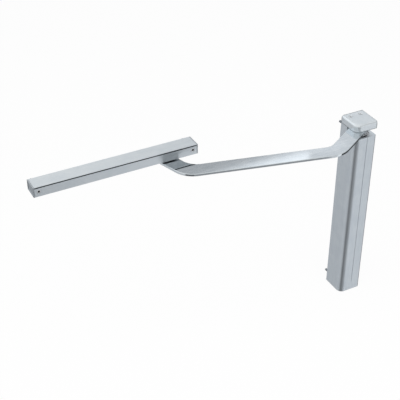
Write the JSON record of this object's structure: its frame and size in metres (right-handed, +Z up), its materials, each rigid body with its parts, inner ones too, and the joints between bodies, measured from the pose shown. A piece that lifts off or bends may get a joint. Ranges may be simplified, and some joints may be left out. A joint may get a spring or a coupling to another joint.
{
  "type": "gate closer",
  "caption": "Hydraulic gate closer: an aluminium post housing with a sprung shaft, a cranked flat arm and a gate rail on a slide block.",
  "frame": {"origin": "centre of the four post bolts, in the housing's back face", "axes": "+Z up along the housing, +Y out of the back face into the gate post, +X to the right seen from the front, away from the arm"},
  "size_m": [0.823, 0.2054, 0.5109],
  "materials": {
    "anodised_aluminium": "satin anodised extrusion, silver",
    "cast_aluminium": "fine blasted and anodised",
    "brushed_aluminium": "brushed flat bar, anodised",
    "stainless_steel": "plain stainless fastener",
    "zinc_plated_steel": "zinc plated bolt",
    "machined_steel": "turned and ground, oiled",
    "spring_steel": "blackened spring steel",
    "bronze": "sintered bronze",
    "nitrile_rubber": "moulded black rubber",
    "acetal": "machined black acetal"
  },
  "bodies": {
    "post_unit": {"housing_profile": "anodised_aluminium", "bottom_cap": "anodised_aluminium", "bottom_cap_screws": "stainless_steel", "top_cap": "cast_aluminium", "top_cap_screws": "stainless_steel", "top_bush": "bronze", "post_bolts": "zinc_plated_steel", "cylinder_barrel": "machined_steel", "cylinder_head": "machined_steel", "head_o_ring": "nitrile_rubber", "head_bearing": "bronze", "shaft_seal": "nitrile_rubber", "bottom_plug": "machined_steel", "plug_o_ring": "nitrile_rubber", "retaining_ring": "spring_steel", "return_spring": "spring_steel"},
    "arm": {"arm_bar": "brushed_aluminium", "arm_hub": "machined_steel", "hub_screw": "stainless_steel", "spacer_washer": "acetal", "drive_spindle": "machined_steel", "pivot_bush": "bronze"},
    "carriage": {"slide_block": "acetal", "pivot_pin": "stainless_steel", "pivot_washer": "stainless_steel", "pivot_nut": "stainless_steel"},
    "gate_rail": {"rail_profile": "anodised_aluminium", "rail_bolts": "stainless_steel", "rail_spacers": "machined_steel", "rail_end_cap_left": "cast_aluminium", "rail_end_cap_right": "cast_aluminium"},
    "piston_unit": {"piston": "machined_steel", "drive_pin": "machined_steel", "guide_key": "machined_steel", "piston_seal": "nitrile_rubber"},
    "speed_screw": {"speed_valve": "stainless_steel"},
    "latch_screw": {"latch_valve": "stainless_steel"}
  },
  "joints": [
    {"name": "arm_swing", "type": "hinge", "parent": "post_unit", "child": "arm", "pos_m": [0, -0.036, 0], "axis": [0, 0, 1], "range_deg": [0, 100], "stiffness_Nm_per_rad": 8, "springref_deg": -85.94},
    {"name": "block_turn", "type": "hinge", "parent": "arm", "child": "carriage", "pos_m": [-0.47539, 0.04985, 0.24], "axis": [0, 0, 1], "continuous": true},
    {"name": "rail_slide", "type": "slide", "parent": "carriage", "child": "gate_rail", "axis": [1, 0, 0], "range_m": [-0.0355, 0.2795]},
    {"name": "piston_travel", "type": "slide", "parent": "post_unit", "child": "piston_unit", "axis": [0, 0, 1], "range_m": [-0.035, 0], "deforming": ["return_spring"]},
    {"name": "speed_valve_turn", "type": "hinge", "parent": "post_unit", "child": "speed_screw", "pos_m": [-0.009, -0.036, -0.21775], "axis": [0, 0, 1], "range_deg": [-180, 180]},
    {"name": "latch_valve_turn", "type": "hinge", "parent": "post_unit", "child": "latch_screw", "pos_m": [0.009, -0.036, -0.21775], "axis": [0, 0, 1], "range_deg": [-180, 180]}
  ],
  "couplings": [
    {"joint": "piston_travel", "follows": "arm_swing", "m_per_rad": -0.02}
  ]
}
